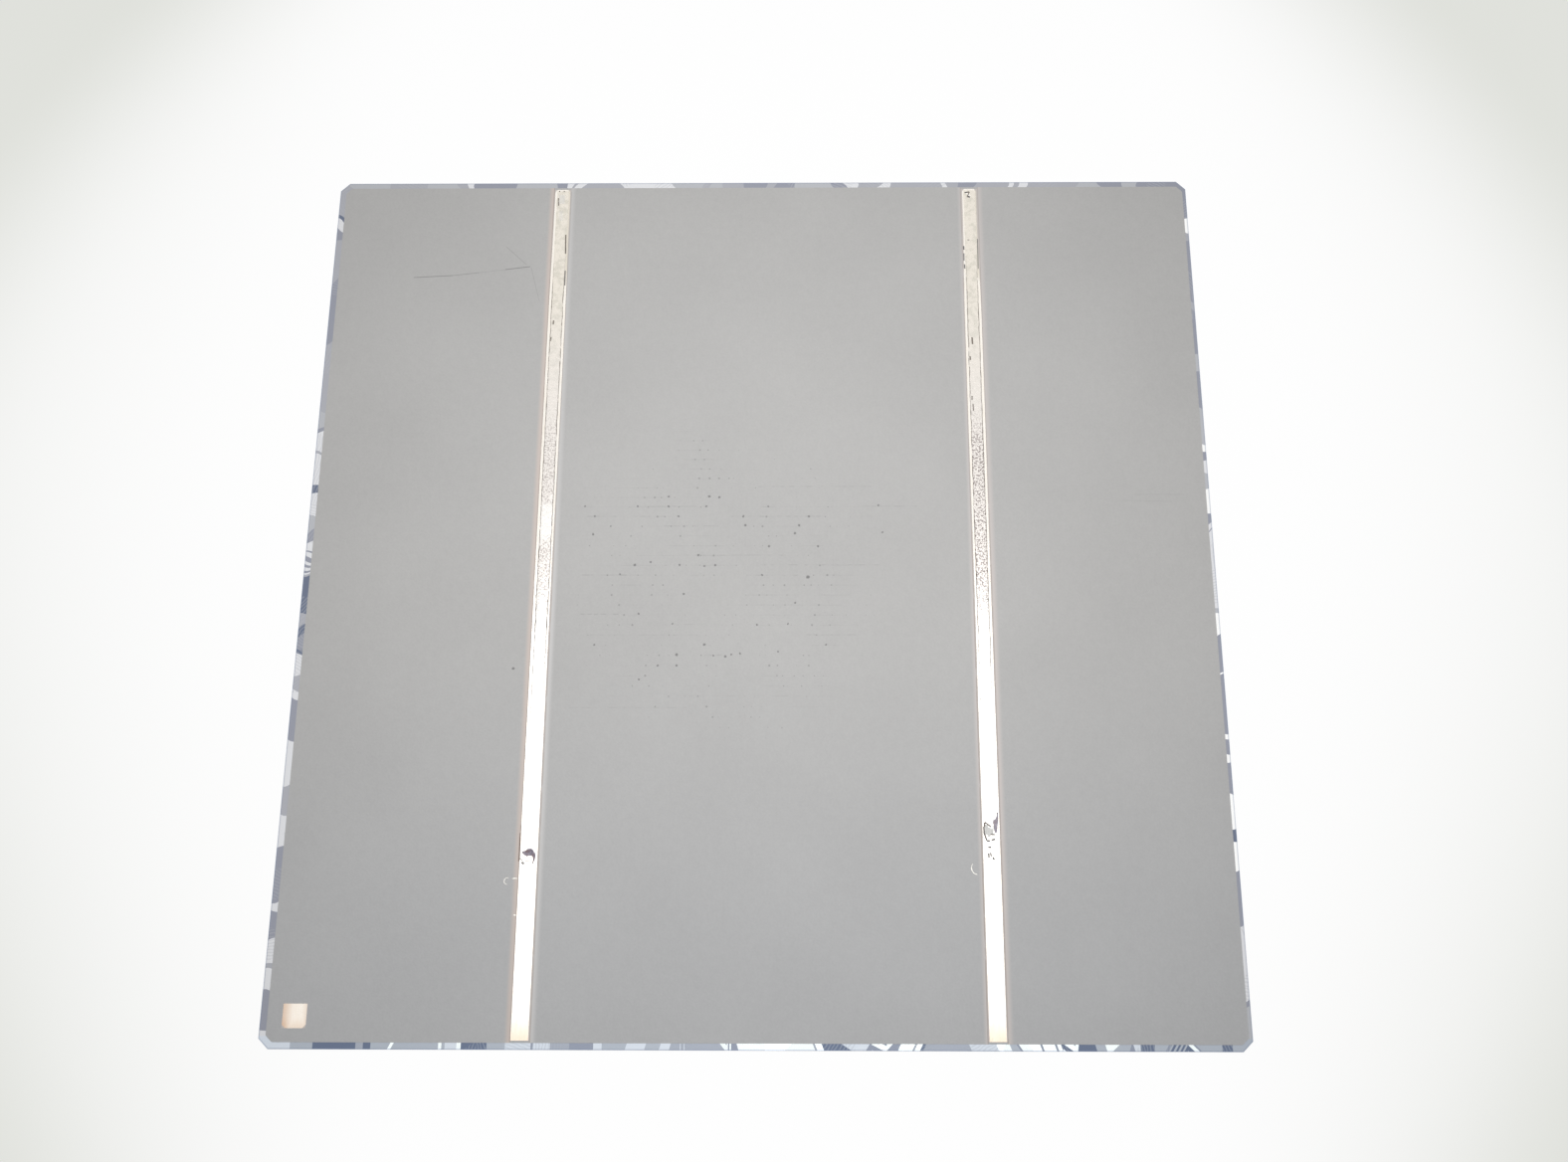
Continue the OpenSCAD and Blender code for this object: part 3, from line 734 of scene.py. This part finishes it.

# %% [markdown]
# Fired silver paste is a soft, creamy metal, smooth enough to mirror the card as a white glare. Fine
# streaks along the print and a slight unevenness of the gloss keep it from looking like paint. The near
# ends of the bars are painted peach, a painted reflection where the card's glare ends. The pad in the
# corner is cream and is painted tan at its sides and foot, the same painted reflection, and its two
# low corners are covered. Along their edges the bars are smeared over by a dull grey, and at their far
# ends a film dulls the right side. Thin sheets could model that, but it has no height that shows, so
# masks do it.

# %% Finish the bars and the pad
SILVER_WARM, SILVER_PALE = (0.96, 0.91, 0.84), (0.99, 0.97, 0.93)
PEACH_REFLECTION, PEACH_RUN, PEACH_SHARE = (0.95, 0.72, 0.52), 4.2, 0.6
TAN_REFLECTION, TAN_RUN, PAD_CREAM = (0.6, 0.38, 0.25), 2.2, (0.92, 0.83, 0.73)
PAD_CUT = 1.05
FILM, FILM_START, FILM_WIDTH = (0.76, 0.72, 0.64), 58, 0.5
SMEAR, SMEAR_ROUND = (0.62, 0.575, 0.545), 0.45
SMEARS = (
    ("rear_busbar_left", -1, 0.02, 0.12),
    ("rear_busbar_left", 1, 0.18, 0.12),
    ("rear_busbar_right", -1, 0.18, 0.23),
    ("rear_busbar_right", 1, 0.12, 0.26),
)
SMEAR_NEAR, SMEAR_FAR, SMEAR_END = (-10, 40), (50, 70), 0.9
BAR_REACH = 1
FILM_RAG_SIZE, FILM_RAG, FILM_RUN = 1.5, 4, 4
STREAK_STRETCH, STREAK_SIZE, STREAK_DETAIL, STREAK_EDGES = (6, 0.4, 1), 1.0, 3.0, (0.3, 0.7)
PAD_REACH, PAD_MARGIN, PAD_END_RUN = 5, 1, 1.1
TAN_SIDE_SHARE, TAN_LOW_SHARE, TAN_FOOT_SHARE, TAN_END_SHARE = 0.65, 0.25, 0.25, 0.35
CREAM_SHARE = 0.45
SILVER_ROUGH, SILVER_ROUGH_SPREAD, SILVER_ROUGH_SIZE = 0.16, 0.1, 0.8
FILM_ROUGH, DULL_ROUGH, SILVER_METAL = 0.15, 0.4, 0.85
SILVER_GRAIN, SILVER_HEIGHT = 0.25, 0.002
bar_low, bar_high = (end.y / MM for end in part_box("rear_busbar_left"))
pad_low, pad_high = (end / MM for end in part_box("corner_pad"))


def pad_colour(colour, x, y):
    """The silver's colour with that of the corner pad and its painted tan reflection, and a mask of the
    pad's covered corners.
    """
    pad_side = 1 - fade(x, pad_low.x, pad_low.x + TAN_RUN)
    pad_foot = 1 - fade(y, pad_low.y, pad_low.y + TAN_RUN)
    pad_end = fade(x, pad_high.x - PAD_END_RUN, pad_high.x)
    corner = (x < pad_low.x + PAD_REACH) & (y > pad_low.y - PAD_MARGIN)
    # painted reflection: tan at the pad's sides, foot and end, where the card's glare ends
    painted_tan = pad_side * (TAN_SIDE_SHARE + TAN_LOW_SHARE * pad_foot)
    painted_tan = painted_tan | pad_foot * TAN_FOOT_SHARE | pad_end * TAN_END_SHARE
    colour = blend(painted_tan & corner, blend(corner * CREAM_SHARE, colour, PAD_CREAM), TAN_REFLECTION)
    pad_cut = (((x - pad_low.x) & (pad_high.x - x)) + (y - pad_low.y) < PAD_CUT) & corner
    return colour, pad_cut


def silver_finish():
    material, shader, place = finish("fired_silver")
    x, y = axis(place, "X"), axis(place, "Y")
    streaks = clouds(times(place, STREAK_STRETCH), STREAK_SIZE, STREAK_DETAIL)
    colour = blend(fade(streaks, *STREAK_EDGES), SILVER_WARM, SILVER_PALE)
    # painted reflection: the near ends of the bars are painted peach where the card's glare ends
    colour = blend((1 - fade(y, bar_low, bar_low + PEACH_RUN)) * PEACH_SHARE, colour, PEACH_REFLECTION)
    colour, smear = pad_colour(colour, x, y)
    film = x * 0
    near, far = 1 - fade(y, *SMEAR_NEAR), fade(y, *SMEAR_FAR)
    rounded = fade(y, bar_high - SMEAR_END, bar_high) * SMEAR_ROUND
    for bar, side, near_width, far_width in SMEARS:
        off = beside(x, bar, side)
        on_bar = off < BAR_REACH
        smear = smear | (off + near * near_width + far * far_width + rounded > 0) & on_bar
        if side > 0:
            film = film | (off > -FILM_WIDTH) & on_bar
    ragged = y + clouds(place, FILM_RAG_SIZE) * FILM_RAG
    film = film * fade(ragged, FILM_START, FILM_START + FILM_RUN)
    marks, patches = bar_marks(place, x, y, BAR_MARKS), bar_marks(place, x, y, DULL_PATCHES)
    colour = blend(patches, blend(film, colour, FILM), BAR_DULL)
    dull = marks | smear | patches
    feed(shader, "Base Color", blend(marks, blend(smear, colour, SMEAR), BAR_MARK))
    rough = SILVER_ROUGH + SILVER_ROUGH_SPREAD * clouds(place, SILVER_ROUGH_SIZE)
    feed(shader, "Roughness", rough + film * FILM_ROUGH + dull * DULL_ROUGH)
    feed(shader, "Metallic", SILVER_METAL - SILVER_METAL * dull)
    raise_bumps(shader, clouds(place, SILVER_GRAIN), SILVER_HEIGHT)
    return material


fired_silver = silver_finish()
for layer in ("rear_busbar_left", "rear_busbar_right", "corner_pad"):
    dress(layer, fired_silver)
print("bar length, mm:", round(bar_high - bar_low, 2), "pad width, mm:", round(pad_high.x - pad_low.x, 2))

# %% [markdown]
# The sunny side carries thin fingers and two bars of silver that collect the current. They are fired
# like the rear silver but stay matte and greyer. They face the table, so a soft mottle is enough, with
# the same metal all over.

# %% Finish the front grid
GRID_TONES, GRID_MOTTLE = ((0.66, 0.66, 0.64), (0.84, 0.84, 0.82)), 0.4
GRID_ROUGH, GRID_ROUGH_SIZE, GRID_METAL = 0.35, 0.6, 0.9
ROUGH_SPREAD = 0.2


def mottled_metal(name, tones, mottle, rough, rough_size, metal):
    """A metal of two tones with an uneven gloss, both from soft noise."""
    material, shader, place = finish(name)
    feed(shader, "Base Color", blend(clouds(place, mottle), *tones))
    feed(shader, "Roughness", rough + ROUGH_SPREAD * clouds(place, rough_size))
    shader.inputs["Metallic"].default_value = metal
    return material


front_silver = mottled_metal(
    "front_silver", GRID_TONES, GRID_MOTTLE, GRID_ROUGH, GRID_ROUGH_SIZE, GRID_METAL
)
dress("front_grid", front_silver)
grid_low, grid_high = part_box("front_grid")
print("front grid, mm:", [round(side / MM, 2) for side in grid_high - grid_low])

# %% [markdown]
# Lumps and ragged edges could be pushed about by hand, point by point. A Displace modifier does it
# evenly: it moves a surface by a noise of the wanted size, and a vertex group says how much each point
# takes part. The helpers below make both, delete chosen parts, and tell what lies in an outline.

# %% Name the ways to shape a sheet
def displace(piece, name, direction, height, size=None, group=""):
    """Moves a piece's surface by a noise of the given size, or evenly, within a vertex group."""
    modifier = piece.modifiers.new(name, "DISPLACE")
    modifier.direction = direction
    modifier.strength = height * MM
    modifier.mid_level = 0.0
    modifier.vertex_group = group
    if size:
        noise = bpy.data.textures.new(name, "CLOUDS")
        noise.noise_scale = size * MM
        modifier.texture = noise
        modifier.texture_coords = "LOCAL"
        modifier.mid_level = 0.5
    bpy.ops.object.modifier_apply(modifier=name)


def weigh(piece, name, weight):
    """Makes a vertex group whose weight at each point comes from a function."""
    group = piece.vertex_groups.new(name=name)
    for vertex in piece.data.vertices:
        group.add([vertex.index], weight(vertex.co), "REPLACE")


def drop(piece, kind, parts, chosen):
    """Deletes the points or faces of a piece that a test chooses, and selects the rest for editing."""
    bpy.ops.object.mode_set(mode="EDIT")
    bpy.ops.mesh.select_mode(type=kind)
    bpy.ops.mesh.select_all(action="DESELECT")
    bpy.ops.object.mode_set(mode="OBJECT")
    for part in getattr(piece.data, parts):
        part.select = chosen(part)
    bpy.ops.object.mode_set(mode="EDIT")
    bpy.ops.mesh.delete(type=kind)
    bpy.ops.mesh.select_all(action="SELECT")


def inside(point, outline):
    """Whether a point lies inside a closed outline."""
    hit = False
    for (ax, ay), (bx, by) in zip(outline, outline[1:] + outline[:1]):
        if (ay > point.y) != (by > point.y) and point.x < ax + (point.y - ay) / (by - ay) * (bx - ax):
            hit = not hit
    return hit


print("shaping helpers ready")

# %% [markdown]
# A ribbon was once soldered to each bar and torn off again. What stayed is a thin, lumpy track with
# ragged edges. A grid with small cells is laid on the silver and raised by Displace modifiers:
# one lifts the crown, two add lumps of different size, and one shakes the edges sideways. The faces
# over the torn places are deleted, and the sheet is then extruded down to the silver, so that each
# track is a closed body. A bump map alone would leave the edges straight and the crown flat.

# %% Model one track
CELL = 0.12
CROWN, LUMPS, PIMPLES, RAG = 0.03, 0.022, 0.011, 0.18
LUMP_SIZE, PIMPLE_SIZE, RAG_SIZE = 1.3, 0.36, 1.7
THIN_END = 2.0
EDGE_DROP_SHARE, END_SHARE = 0.85, 0.3
SMOOTH_ANGLE = 50


def solder_track(name, node_name, tears):
    """Models one track over its CAD solid, without the faces inside the torn outlines."""
    low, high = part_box(node_name)
    size, middle = high - low, (high + low) / 2
    bpy.ops.object.select_all(action="DESELECT")
    counts = [round(side / MM / CELL) for side in size[:2]]
    bpy.ops.mesh.primitive_grid_add(x_subdivisions=counts[0], y_subdivisions=counts[1], size=1)
    track = bpy.context.object
    track.name = name
    track.scale = (size.x - RAG * MM, size.y, 1)
    track.location = (middle.x, middle.y, low.z)
    bpy.ops.object.transform_apply(location=True, rotation=False, scale=True)
    half = (size.x - RAG * MM) / 2

    def off_middle(co):
        return min(1, abs(co.x - middle.x) / half)

    def near_end(co):
        return min(1, (size.y / 2 - abs(co.y - middle.y)) / (THIN_END * MM))

    def top_share(co):
        return (1 - EDGE_DROP_SHARE * off_middle(co) ** 4) * (END_SHARE + (1 - END_SHARE) * near_end(co))

    weigh(track, "edges", lambda co: off_middle(co) ** 3)
    weigh(track, "top", top_share)
    displace(track, "lift", "Z", CROWN, group="top")
    displace(track, "lumps", "Z", LUMPS, LUMP_SIZE, "top")
    displace(track, "pimples", "Z", PIMPLES, PIMPLE_SIZE, "top")
    displace(track, "rag", "X", RAG, RAG_SIZE, "edges")
    drop(track, "FACE", "polygons", lambda face: any(inside(face.center, tear) for tear in tears))
    bpy.ops.mesh.extrude_region_move()
    bpy.ops.transform.resize(value=(1, 1, 0), center_override=(0, 0, low.z))
    bpy.ops.mesh.select_all(action="SELECT")
    bpy.ops.mesh.normals_make_consistent(inside=False)
    bpy.ops.object.mode_set(mode="OBJECT")
    bpy.ops.object.shade_smooth_by_angle(angle=math.radians(SMOOTH_ANGLE))
    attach(track, "root")
    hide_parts(node_name)
    print(name, "faces:", len(track.data.polygons))
    return track


print("cell of the tracks' grid, mm:", CELL)

# %% [markdown]
# Each track ends beside a place where the ribbon pulled the silver away, and the right one has a hole
# near its far end too. A cut with another solid would do, but the grid is fine enough to drop whole
# faces. The outlines are shares of a size about a place, the same as in the CAD solids.

# %% Tear and lay both tracks
LEFT_TEAR_PLACE, LEFT_TEAR_SIZE = (-36.91, -47.4), (2.35, 2.5)
LEFT_TEAR_SHARES = (
    (-0.5, 0.22), (-0.33, 0.32), (-0.19, 0.35), (-0.09, 0.45), (0.05, 0.5), (0.23, 0.45),
    (0.36, 0.33), (0.46, 0.18), (0.5, 0), (0.46, -0.25), (0.33, -0.5), (0.32, -0.25),
    (0.3, -0.08), (0.21, 0), (0.03, 0), (-0.09, -0.05), (-0.24, 0.02), (-0.38, 0.12),
)
RIGHT_TEAR_PLACE, RIGHT_TEAR_SIZE = (39, -41.9), (0.95, 3.6)
RIGHT_TEAR_SHARES = (
    (0.42, 0.5), (0.5, 0.21), (0.37, -0.1), (0.22, -0.4), (-0.04, -0.5), (-0.39, -0.28),
    (-0.26, -0.09), (-0.5, 0), (-0.45, 0.13), (-0.03, 0.18), (0.23, 0.33),
)
HOLE_PLACE, HOLE_SIZE = (38, 75.35), (1, 1.3)
HOLE_SHARES = (
    (-0.5, 0.5), (-0.1, 0.45), (0.1, 0.2), (0.4, 0.05), (0.5, -0.25), (0.35, -0.5),
    (0.05, -0.45), (-0.05, -0.1), (-0.3, 0.1), (-0.5, 0.25),
)


def tear_outline(place, size, shares):
    """An outline in metres, from shares of its size about its place."""
    return [((place[0] + sx * size[0]) * MM, (place[1] + sy * size[1]) * MM) for sx, sy in shares]


left_tear = tear_outline(LEFT_TEAR_PLACE, LEFT_TEAR_SIZE, LEFT_TEAR_SHARES)
right_tear = tear_outline(RIGHT_TEAR_PLACE, RIGHT_TEAR_SIZE, RIGHT_TEAR_SHARES)
hole = tear_outline(HOLE_PLACE, HOLE_SIZE, HOLE_SHARES)
left_track = solder_track("solder_track_left", "solder_strip_left", [left_tear])
right_track = solder_track("solder_track_right", "solder_strip_right", [right_tear, hole])

# %% [markdown]
# Old solder is a pale metal, mottled with grey. The tracks change along their length: bright and plain
# at the near end, peppered with dark pits in the middle and greyer at the far end, with a short painted
# glare on the left one. A dark line follows the foot of each track: painted shade of its side wall, partly
# flux residue. One noise could not do that, so soft steps along the track choose between the looks.

# %% Finish the solder
SOLDER_CLEAN, SOLDER_GREY = (0.86, 0.82, 0.75), (0.74, 0.715, 0.645)
SOLDER_PLAIN, SOLDER_BRIGHT = (0.88, 0.85, 0.83), (0.97, 0.96, 0.94)
PEPPER, FOOT_SHADE_AND_MARKS = (0.24, 0.2, 0.2), (0.14, 0.11, 0.09)
STAIN_SIZE, STAIN_EDGES = 1.1, (0.45, 0.65)
PEPPER_SIZE, PEPPER_EDGES = 0.3, (0.5, 0.58)
PEPPER_LEAST_SHARE, PEPPER_SHARE, LEFT_PEPPER_SHARE = 0.08, 0.75, 0.6
PEPPER_ZONE = (-12, 2, 24, 34)
GLARE_ZONE, GLARE_SOFT, GLARE_SHARE = (6.5, 15.5), 2.5, 0.85
GLARE_RAG_SIZE, GLARE_RAG = 1.6, 6
FOOT_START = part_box("rear_busbar_left")[1].z / MM
FOOT_HEIGHT, FOOT_OFF = 0.017, (0.5, 0.7)
FOOT_ZONE, BRIGHT_ZONE, PLAIN_ZONE = (-34, -6), (-16, 6), (25, 60)
FOOT_CORE_SHARE, FOOT_SHARE, FOOT_END = 0.6, 0.85, (52, 66)
FOOT_GAP_SIZE, FOOT_GAPS = 0.9, (0.25, 0.45)
PLAIN_SHARE = 0.85
SOLDER_ROUGH, SOLDER_ROUGH_SPREAD, FLUX_ROUGH = 0.18, 0.16, 0.5
SOLDER_METAL, SOLDER_HEIGHT = 0.85, 0.003
TRACK_MIDDLES = [
    sum(end.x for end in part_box(strip)) / 2 / MM for strip in ("solder_strip_left", "solder_strip_right")
]


def foot_shade_line(place, x, y):
    """A mask of the dark line along the foot of the tracks: painted shade of their side walls, partly flux
    residue.
    """
    foot = 1 - fade(axis(place, "Z") - FOOT_START, FOOT_HEIGHT * FOOT_CORE_SHARE, FOOT_HEIGHT)
    foot = foot * fade(abs(x - TRACK_MIDDLES[0]) & abs(x - TRACK_MIDDLES[1]), *FOOT_OFF)
    foot = foot * fade(clouds(place, FOOT_GAP_SIZE), *FOOT_GAPS)
    return foot * fade(y, *FOOT_ZONE) * (1 - fade(y, *FOOT_END)) * FOOT_SHARE


def solder_finish():
    material, shader, place = finish("old_solder")
    x, y = axis(place, "X"), axis(place, "Y")
    start, full, thin, end = PEPPER_ZONE
    # painted highlight: a short glare on the left track, painted into the colour as a brighter band
    ragged = y + waves(place, GLARE_RAG_SIZE) * GLARE_RAG
    painted_glare = fade(ragged, GLARE_ZONE[0], GLARE_ZONE[0] + GLARE_SOFT) * (x < 0)
    painted_glare = painted_glare * (1 - fade(ragged, GLARE_ZONE[1] - GLARE_SOFT, GLARE_ZONE[1])) * GLARE_SHARE
    zone = fade(y, start, full) * (1 - fade(y, thin, end)) * (1 - painted_glare)
    zone = zone * (LEFT_PEPPER_SHARE + (1 - LEFT_PEPPER_SHARE) * (x > 0))
    grain = clouds(place, PEPPER_SIZE)
    colour = blend(fade(clouds(place, STAIN_SIZE), *STAIN_EDGES), SOLDER_CLEAN, SOLDER_GREY)
    colour = blend((1 - fade(y, *PLAIN_ZONE)) * PLAIN_SHARE, colour, SOLDER_PLAIN)
    colour = blend((1 - fade(y, *BRIGHT_ZONE)) | painted_glare, colour, SOLDER_BRIGHT)
    pepper = fade(grain, *PEPPER_EDGES) * (PEPPER_LEAST_SHARE + PEPPER_SHARE * zone)
    colour = blend(pepper, colour, PEPPER)
    # painted shade and real marks: the foot line is painted shade of the side walls, partly flux residue;
    # the bar marks are real
    shade_and_marks = foot_shade_line(place, x, y) | bar_marks(place, x, y, BAR_MARKS)
    patches = bar_marks(place, x, y, DULL_PATCHES)
    dull = shade_and_marks | patches
    feed(shader, "Base Color", blend(shade_and_marks, blend(patches, colour, BAR_DULL), FOOT_SHADE_AND_MARKS))
    feed(shader, "Roughness", SOLDER_ROUGH + SOLDER_ROUGH_SPREAD * grain + dull * FLUX_ROUGH)
    feed(shader, "Metallic", SOLDER_METAL - SOLDER_METAL * dull)
    raise_bumps(shader, grain, SOLDER_HEIGHT)
    return material


old_solder = solder_finish()
for track in (left_track, right_track):
    track.data.materials.append(old_solder)
print("middles of the tracks, mm:", [round(middle, 2) for middle in TRACK_MIDDLES])

# %% [markdown]
# Tearing off the ribbon flicked three fine threads and a crumb of solder onto the aluminium beside the
# bars. A bevelled curve would give a thread too. Here each is a piece of a thin ring that lies on the
# print, because the threads are bent evenly: a torus, cut to the length of the thread, closed at its
# ends, thinned towards them and pressed flat.

# %% Model the splashes
SPLASH_TONES = ((0.8, 0.79, 0.74), (0.96, 0.94, 0.88))
SPLASH_MOTTLE, SPLASH_METAL = 0.3, 0.5
SPLASH_ROUGH, SPLASH_ROUGH_SIZE = 0.25, 0.2
THREAD_HEIGHT = 0.03
THREADS = (
    ("solder_thread_right", (983.2, 872.5), 1.08, 0.16, (140, 268)),
    ("solder_thread_left", (510, 885.7), 0.54, 0.13, (70, 270)),
    ("solder_thread_short", (515.6, 911), 4.5, 0.2, (83.5, 97)),
    ("solder_crumb", (516.9, 925.5), 0.9, 0.26, (76, 104)),
)
RING = {"major_segments": 240, "minor_segments": 12}
THIN_END_SHARE, UNEVEN_SHARE, UNEVEN_SIZE = 0.35, 0.5, 0.3


def thread(name, pixel, radius, thickness, turns):
    """Lays one bent thread of solder on the aluminium, round a pixel of the photograph."""
    middle = on_cell(pixel)
    bpy.ops.object.select_all(action="DESELECT")
    bpy.ops.mesh.primitive_torus_add(major_radius=radius * MM, minor_radius=thickness / 2 * MM, **RING)
    piece = bpy.context.object
    piece.name = name

    def turn(co):
        return math.degrees(math.atan2(co.y, co.x)) % 360

    def end_share(co):
        share = (turn(co) - turns[0]) / (turns[1] - turns[0])
        return min(1, abs(2 * share - 1)) ** 2

    drop(piece, "VERT", "vertices", lambda vertex: not turns[0] <= turn(vertex.co) <= turns[1])
    bpy.ops.mesh.fill_holes(sides=0)
    bpy.ops.mesh.normals_make_consistent(inside=False)
    bpy.ops.object.mode_set(mode="OBJECT")
    weigh(piece, "ends", end_share)
    displace(piece, "thin ends", "NORMAL", -thickness * THIN_END_SHARE, group="ends")
    displace(piece, "uneven", "NORMAL", thickness * UNEVEN_SHARE, UNEVEN_SIZE)
    piece.scale = (1, 1, THREAD_HEIGHT / thickness)
    piece.location = (middle[0] * MM, middle[1] * MM, rear_face + THREAD_HEIGHT / 2 * MM)
    bpy.ops.object.transform_apply(location=True, rotation=False, scale=True)
    bpy.ops.object.shade_smooth()
    piece.data.materials.append(flicked_solder)
    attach(piece, "root")
    print(name, "faces:", len(piece.data.polygons))


flicked_solder = mottled_metal(
    "flicked_solder", SPLASH_TONES, SPLASH_MOTTLE, SPLASH_ROUGH, SPLASH_ROUGH_SIZE, SPLASH_METAL
)
for values in THREADS:
    thread(*values)
